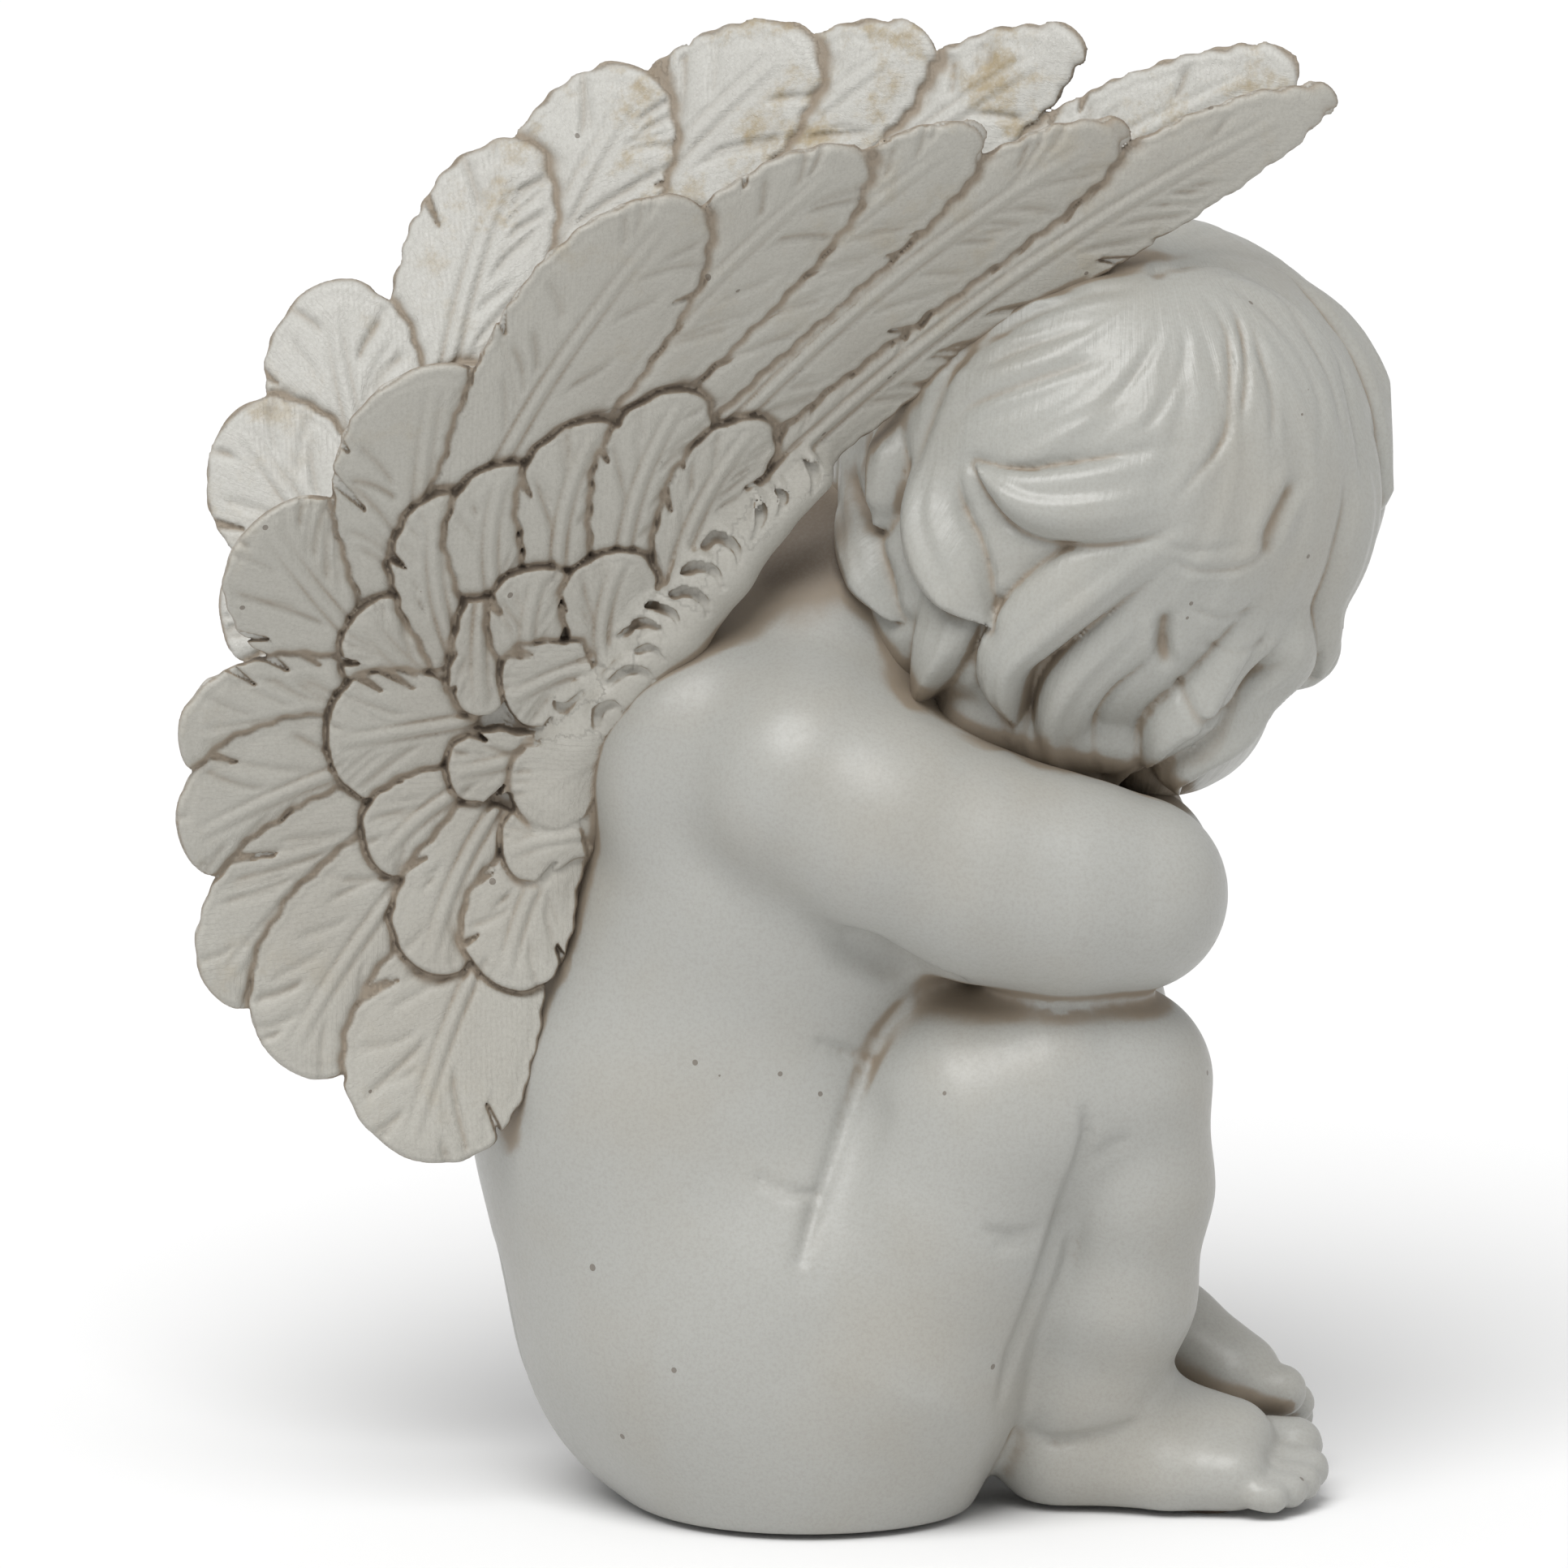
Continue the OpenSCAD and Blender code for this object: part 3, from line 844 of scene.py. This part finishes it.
def cut_nicks(clay):
    """Cuts the arm's curled nicks and raises a thin lip of down above each."""
    for radius, path in ARM_NICKS:
        curve = smooth_line(path, 3)
        sunk = []
        for share, (x, z) in zip(np.linspace(0, 1, len(curve)), curve):
            swell = math.sin(math.pi * min(share + 0.12, 1))
            sunk.append((x, clay.column(x, z)[-1], z, radius * (0.35 + 0.65 * swell)))
        clay.limb([(x - 0.4, y - 0.1, z + 1.5, r) for x, y, z, r in sunk], 1.6)
        clay.limb([(x, y + 0.15, z, r) for x, y, z, r in sunk], 0.5, carve=True)


# Least height of the two faces, so that no groove cuts through the wing.
OUTER_FLOOR, INNER_FLOOR = -0.2, 1.1


def wing_clay(side):
    """A left-hand wing's clay and the two height maps it was made from."""
    voxel = 0.5 * FINE
    clay = Clay((-124, 3, 68), (110, 74, 286), voxel)
    x, z = clay.axes[0][:, None], clay.axes[2][None, :]
    outer, inner = wing_maps(x, z, voxel), wing_maps(x, z, voxel)
    flight = LEFT_FLIGHT if side == LEFT else FLIGHT
    # Each row of feathers with the height it lies at, its thickness and where its seeds start.
    outer_rows = [(flight, 0.0, 1.8, 0), (COVERTS, 1.5, 1.7, 0), (SMALL_COVERTS, 2.8, 1.6, 0)]
    inner_rows = [(flight, 1.0, 1.6, 50), (COVERTS, 2.3, 1.2, 50)]
    number = 0
    for maps, rows in ((outer, outer_rows), (inner, inner_rows)):
        for row, lift, thick, seed in rows:
            for f in row:
                number += 1
                lay_feather(maps, f, number, lift, thick, seed + number)
    outer["height"] = np.maximum(outer["height"], OUTER_FLOOR)
    inner["height"] = np.maximum(inner["height"], INNER_FLOOR)
    middle = sheet(x, z)
    slope_x, slope_z = np.gradient(middle, voxel)
    squeeze = 1 / np.sqrt(1 + slope_x ** 2 + slope_z ** 2)
    outer["squeeze"] = squeeze
    outline = np.minimum(outer["outline"], inner["outline"])
    level = (clay.axes[1][None, :, None] - middle[:, None, :]) * squeeze[:, None, :]
    top = level - outer["height"][:, None, :]
    under = -inner["height"][:, None, :] - level
    outline = np.broadcast_to(outline[:, None, :], level.shape)
    clay.field[:] = soft_max(np.maximum(top, under), outline, 0.8)
    clay.limb([(-50, 17, 128, 5), (-44, 17, 139, 7.5), (-34, 17, 150, 9), (-24, 17, 161, 9)], 6)
    clay.limb(ARM_RIDGE, 4)
    clay.ball((-43, 20, 158), (10, 4, 14), 4, pitch=-20)
    cut_nicks(clay)
    return clay, outer, inner


def build_wing(side, clays):
    """A wing's surface, as (points, quads), and the values its points carry."""
    clay, outer, inner = wing_clay(side)
    points, quads = surface(clay, 0, clays)
    x, z = points[:, 0], points[:, 2]
    level = points[:, 1] - sheet(x, z)
    outside = level > 0
    above = level * read_map(outer, "squeeze", x, z) - read_map(outer, "height", x, z)
    covered = smooth_step(0.5, 1.5, above)
    values = {}
    for key in ("along", "across", "feather"):
        values[key] = np.where(outside, nearest(outer, key, x, z), nearest(inner, key, x, z))
    outer_wash = read_map(outer, "wash_and_shade", x, z) * (1 - covered)
    values["wash_and_shade"] = np.where(outside, outer_wash, read_map(inner, "wash_and_shade", x, z))
    values["outside"] = smooth_step(-1, 1, level)
    if side == RIGHT:
        points = points * [1, -1, 1]
        quads = quads[:, ::-1]
        clay.field = clay.field[:, ::-1]
        clay.axes[1] = -clay.axes[1][::-1]
    return points, quads, values


# ---------------- materials

class Nodes:
    """Builds a material from chained nodes: each method gives back what its node puts out."""

    def __init__(self, name):
        self.material = bpy.data.materials.new(name)
        self.material.use_nodes = True
        self.tree = self.material.node_tree
        self.tree.nodes.clear()

    def new(self, kind, inputs, **settings):
        node = self.tree.nodes.new(kind)
        for key, value in settings.items():
            setattr(node, key, value)
        for key, value in inputs.items():
            if isinstance(value, bpy.types.NodeSocket):
                self.tree.links.new(value, node.inputs[key])
            else:
                node.inputs[key].default_value = value
        return node.outputs

    def attribute(self, name):
        return self.new("ShaderNodeAttribute", {}, attribute_name=name)["Fac"]

    def place(self):
        return self.new("ShaderNodeTexCoord", {})["Object"]

    def math(self, operation, *values):
        return self.new("ShaderNodeMath", dict(enumerate(values)), operation=operation)[0]

    def plus(self, a, b):
        return self.math("ADD", a, b)

    def times(self, a, b):
        return self.math("MULTIPLY", a, b)

    def ramp(self, value, low, high, start=0.0, end=1.0):
        """Runs smoothly from start to end as the value goes from low to high."""
        inputs = dict(enumerate((value, low, high, start, end)))
        return self.new("ShaderNodeMapRange", inputs, interpolation_type="SMOOTHSTEP")[0]

    def noise(self, vector, scale, detail=4.0, rough=0.55):
        inputs = {"Vector": vector, "Scale": scale, "Detail": detail, "Roughness": rough}
        return self.new("ShaderNodeTexNoise", inputs)["Fac"]

    def mix(self, share, a, b):
        return self.new("ShaderNodeMix", {0: share, 6: a, 7: b}, data_type="RGBA")[2]

    def vector(self, x, y, z):
        return self.new("ShaderNodeCombineXYZ", {0: x, 1: y, 2: z})[0]

    def cells(self, vector, scale):
        """A random level for each cell, and the distance to the nearest cell's middle."""
        cell = self.new("ShaderNodeTexVoronoi", {"Vector": vector, "Scale": scale}, feature="F1")
        return cell["Color"], cell["Distance"]

    def bump(self, height, strength, distance, normal=None):
        inputs = {"Height": height, "Strength": strength, "Distance": distance}
        if normal is not None:
            inputs["Normal"] = normal
        return self.new("ShaderNodeBump", inputs)[0]

    def done(self, colour, rough, **others):
        """The finished material. Others are further inputs of its shader."""
        inputs = {"Base Color": colour, "Roughness": rough, **others}
        shader = self.new("ShaderNodeBsdfPrincipled", inputs)
        self.new("ShaderNodeOutputMaterial", {"Surface": shader[0]})
        return self.material


def resin(name, tint, gloss, strands=None, faces=None):
    """Off-white cast resin with a beige to brown antique wash left in its hollows, and painted shade in
    sheltered recesses and behind the neck.
    """
    n = Nodes(name)
    place = n.place()
    ivory = tuple(a * b for a, b in zip((0.375, 0.375, 0.352), tint)) + (1,)
    warm = (0.345, 0.325, 0.28, 1)
    beige = (0.25, 0.20, 0.145, 1)
    brown = (0.105, 0.08, 0.058, 1)
    dust = (0.22, 0.2, 0.17, 1)
    cloud = n.noise(place, 22, 3, 0.6)
    grain = n.noise(place, 520, 3, 0.6)
    worn = n.times(n.math("SUBTRACT", n.noise(place, 90, 4, 0.65), 0.5), 0.7)
    hollow = n.ramp(n.attribute("hollow"), 0.06, 1.2, 0, 0.75)
    # Sheltered spots get antique wash and painted shade, darker the more the forms around shut them in.
    shelter_wash_and_shade = n.ramp(n.attribute("shelter_wash_and_shade"), 0.3, 0.9, 0, 0.95)
    # Antique wash from the hollows, plus painted shade from shelter and behind the neck.
    wash_and_shade = n.plus(n.plus(hollow, shelter_wash_and_shade), n.attribute("wash_and_shade"))
    wash_shade_and_wear = n.plus(wash_and_shade, n.times(worn, n.ramp(wash_and_shade, 0.05, 0.5)))
    colour = n.mix(n.ramp(cloud, 0.42, 0.75, 0, 0.55), ivory, warm)
    if faces is not None:
        colour = faces(n, place, colour)
    # Beige, then brown, for the antique wash, the wear and the painted shade.
    colour = n.mix(n.ramp(wash_shade_and_wear, 0.1, 0.8, 0, 0.9), colour, beige)
    colour = n.mix(n.ramp(wash_shade_and_wear, 0.8, 1.8, 0, 0.8), colour, brown)
    chance, off_middle = n.cells(place, 260)
    size = n.ramp(n.noise(place, 130, 0, 0.5), 0.45, 0.75, 0.0, 0.2)
    rare = n.math("GREATER_THAN", chance, 0.80)
    pit = n.times(n.math("LESS_THAN", off_middle, size), rare)
    colour = n.mix(n.times(pit, 0.7), colour, brown)
    speckle = n.noise(place, 1500, 2, 0.7)
    colour = n.mix(n.ramp(speckle, 0.35, 0.75, 0, 0.22), colour, dust)
    rough = n.ramp(n.plus(wash_and_shade, grain), 0.3, 1.3, gloss, gloss + 0.25)
    skin = n.bump(grain, 0.25, 0.0002)
    if strands is not None:
        skin = n.bump(strands(n), 0.5, 0.0004, skin)
    skin = n.bump(n.math("SUBTRACT", 1.0, pit), 0.5, 0.0004, skin)
    return n.done(colour, rough, Normal=skin, **{"Specular IOR Level": 0.45})


def wing_faces(n, place, colour):
    """Painted shade darkening the wings' outer faces and painted light brightening their inner ones,
    which also carry more of the tan stains.
    """
    outer_painted_shade = (0.36, 0.34, 0.305, 1)
    inner_painted_light = (0.52, 0.515, 0.49, 1)
    tan = (0.33, 0.26, 0.15, 1)
    outer = n.attribute("outside")
    inner = n.math("SUBTRACT", 1.0, outer)
    # Painted shade on the outer faces, painted light on the inner faces.
    colour = n.mix(n.times(outer, 0.35), colour, outer_painted_shade)
    colour = n.mix(n.times(inner, 0.6), colour, inner_painted_light)
    patches = n.ramp(n.noise(place, 75, 5, 0.7), 0.5, 0.72)
    stain = n.times(patches, n.ramp(n.attribute("along"), 22, 60))
    share = n.plus(n.times(inner, 0.65), 0.25)
    return n.mix(n.times(stain, share), colour, tan)


def barb_strands(n):
    """Fine scratches that sweep outwards and forwards from a feather's shaft."""
    along, across = n.attribute("along"), n.attribute("across")
    sweep = n.math("SUBTRACT", n.times(n.math("ABSOLUTE", across), 1.43), along)
    sweep = n.times(sweep, 0.9)
    place = n.vector(sweep, n.times(across, 0.1), n.attribute("feather"))
    return n.noise(place, 1.6, 3, 0.6)


def hair_strands(n):
    """Fine combed lines that radiate from the crown."""
    bearing = n.times(n.attribute("bearing"), 26)
    reach = n.times(n.attribute("reach"), 0.03)
    return n.noise(n.vector(bearing, reach, 0.0), 1.0, 4, 0.6)


def metal(name):
    """Drawn steel pin stock with lengthwise scratches."""
    n = Nodes(name)
    place = n.place()
    fine = n.noise(place, 900, 4, 0.7)
    tarnish = n.noise(place, 120, 3, 0.6)
    colour = n.mix(n.ramp(tarnish, 0.45, 0.8), (0.52, 0.53, 0.55, 1), (0.33, 0.31, 0.28, 1))
    rough = n.ramp(fine, 0.3, 0.7, 0.28, 0.5)
    return n.done(colour, rough, Metallic=1.0, Normal=n.bump(fine, 0.3, 0.0001))


def rubber(name):
    """Moulded dark rubber with a faint bloom."""
    n = Nodes(name)
    place = n.place()
    grain = n.noise(place, 1400, 3, 0.6)
    bloom = n.noise(place, 200, 4, 0.6)
    colour = n.mix(n.ramp(bloom, 0.4, 0.8), (0.022, 0.022, 0.024, 1), (0.06, 0.058, 0.055, 1))
    rough = n.ramp(bloom, 0.3, 0.8, 0.6, 0.85)
    return n.done(colour, rough, Normal=n.bump(grain, 0.4, 0.0001))


def felt(name):
    """Pressed brown felt: matted fibres over a mottled ground."""
    n = Nodes(name)
    place = n.place()
    fibres = n.noise(place, 2600, 5, 0.8)
    mottle = n.noise(place, 260, 4, 0.7)
    colour = n.mix(n.ramp(mottle, 0.35, 0.7), (0.12, 0.085, 0.06, 1), (0.19, 0.14, 0.10, 1))
    colour = n.mix(n.ramp(fibres, 0.5, 0.75, 0, 0.5), colour, (0.30, 0.25, 0.20, 1))
    skin = n.bump(fibres, 0.8, 0.0003)
    return n.done(colour, 0.95, Normal=skin, **{"Sheen Weight": 0.4})


def cast_back(name):
    """The unpainted poured face of the resin disc, with flow marks and trapped bubbles."""
    n = Nodes(name)
    place = n.place()
    flow = n.noise(place, 60, 5, 0.7)
    bubble = n.math("LESS_THAN", n.cells(place, 420)[1], 0.16)
    colour = n.mix(n.ramp(flow, 0.4, 0.7), (0.44, 0.43, 0.40, 1), (0.36, 0.34, 0.30, 1))
    colour = n.mix(n.times(bubble, 0.6), colour, (0.14, 0.12, 0.10, 1))
    skin = n.bump(n.math("SUBTRACT", flow, bubble), 0.5, 0.0003)
    return n.done(colour, n.ramp(flow, 0.3, 0.7, 0.55, 0.75), Normal=skin)


# ---------------- build

# Rounds of smoothing for the surroundings that hollows are measured against.
HOLLOW_ROUNDS = 20


def neck_painted_shade(points):
    """Painted shade darkening the hollow behind the neck, between the wings and the hair."""
    return 2.6 * np.exp(-((points[:, 0] - 1) / 12) ** 2 - ((points[:, 2] - 193) / 11) ** 2)


def hair_values(points, maps):
    """The antique wash on the hair with a little painted shade from the neck hollow, and each point's
    bearing and reach from the crown.
    """
    place = points - HEAD_CENTRE
    out_u = place[:, 0] - CROWN[0]
    out_v = np.hypot(place[:, 1], place[:, 2])
    return {
        "wash_and_shade": over_scalp(maps, "wash_and_shade", points) + 0.2 * neck_painted_shade(points),
        "bearing": np.arctan2(out_u, np.abs(place[:, 1]) + 6) + 0.01 * out_v,
        "reach": np.hypot(out_u, place[:, 2] - CROWN[1]),
    }


def build_body(clays):
    points, quads = surface(body_clay(), 4, clays)
    # The body's only darkening value is painted shade in the hollow behind the neck.
    return points, quads, {"wash_and_shade": neck_painted_shade(points)}


def build_head(clays):
    clay, scalp = head_clay()
    points, quads = surface(clay, 1, clays)
    return points, quads, hair_values(points, scalp)


def finish_piece(name, node, material, skin, clays):
    """The object for one casting, put in the place of its CAD node."""
    points, quads, values = skin
    values["hollow"] = hollowness(points, quads, HOLLOW_ROUNDS)
    # How sheltered each point is by all the castings, which the resin paints as antique wash and
    # painted shade.
    values["shelter_wash_and_shade"] = shelter(points, normals_of(points, quads), clays)
    piece = mesh_object(name, points + [SHIFT_X, 0, 0], quads, values)
    piece.data.materials.append(material)
    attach(piece, "root")
    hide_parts(node)


def dress_hardware():
    """Puts materials on the CAD pieces that are kept as they are."""
    steel, pad = metal("steel_pins"), felt("brown_felt")
    looks = {
        "right_wing_dowels": steel, "left_wing_dowels": steel, "head_dowel": steel,
        "base_disc": cast_back("resin_back"), "vent_stopper": rubber("stopper_rubber"),
        "seat_pads": pad, "foot_pads": pad,
    }
    for node, material in looks.items():
        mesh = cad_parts[node].data
        mesh.materials.clear()
        mesh.materials.append(material)


dress_hardware()
clays = []
right = build_wing(RIGHT, clays)
left = build_wing(LEFT, clays)
body = build_body(clays)
head = build_head(clays)
skin_resin = resin("resin_skin", (0.98, 0.98, 0.98), 0.36)
hair_resin = resin("resin_hair", (0.97, 0.97, 0.96), 0.31, hair_strands)
wing_resin = resin("resin_feathers", (1.18, 1.16, 1.11), 0.45, barb_strands, wing_faces)
finish_piece("body_skin", "body_casting", skin_resin, body, clays)
finish_piece("head_skin", "head_casting", hair_resin, head, clays)
finish_piece("right_wing_skin", "right_wing", wing_resin, right, clays)
finish_piece("left_wing_skin", "left_wing", wing_resin, left, clays)


# ---------------- studio

# Half the width of the paper floor, in metres.
FLOOR = 20
SKY_STRENGTH = 0.6
SUN_STRENGTH = 2.45
SUN_SPREAD = math.radians(40)
SUN_DIRECTION = Vector((0.2, 0.5, -0.85))
# The photograph's view: nearly side-on, from a little above, through a very long lens.
AZIMUTH, ELEVATION = math.radians(-5), math.radians(12)
VIEW_CENTRE = Vector((0, 0, 140 * MM))
VIEW_WIDTH = 303.324 * MM


def studio():
    """White paper floor, white sky and one soft sun."""
    mesh = bpy.data.meshes.new("floor")
    corners = [(-FLOOR, -FLOOR, 0), (FLOOR, -FLOOR, 0), (FLOOR, FLOOR, 0), (-FLOOR, FLOOR, 0)]
    mesh.from_pydata(corners, [], [(0, 1, 2, 3)])
    floor = bpy.data.objects.new("floor", mesh)
    bpy.context.scene.collection.objects.link(floor)
    mesh.materials.append(Nodes("floor_paper").done((0.84, 0.84, 0.84, 1), 0.9))
    world = bpy.data.worlds.new("studio")
    bpy.context.scene.world = world
    world.use_nodes = True
    back = world.node_tree.nodes["Background"]
    back.inputs[0].default_value = (1, 1, 1, 1)
    back.inputs[1].default_value = SKY_STRENGTH
    lamp = bpy.data.lights.new("softbox", "SUN")
    lamp.energy = SUN_STRENGTH
    lamp.angle = SUN_SPREAD
    holder = bpy.data.objects.new("softbox", lamp)
    holder.rotation_euler = SUN_DIRECTION.to_track_quat("-Z", "Y").to_euler()
    bpy.context.scene.collection.objects.link(holder)


def camera():
    data = bpy.data.cameras.new("camera")
    data.lens = 1000
    data.sensor_width = 36
    holder = bpy.data.objects.new("camera", data)
    bpy.context.scene.collection.objects.link(holder)
    away = VIEW_WIDTH * data.lens / data.sensor_width
    towards = Vector((
        math.sin(AZIMUTH) * math.cos(ELEVATION),
        -math.cos(AZIMUTH) * math.cos(ELEVATION),
        math.sin(ELEVATION),
    ))
    holder.location = VIEW_CENTRE + away * towards
    holder.rotation_euler = (-towards).to_track_quat("-Z", "Y").to_euler()
    bpy.context.scene.camera = holder


studio()
camera()
bpy.context.scene.view_settings.view_transform = "Standard"
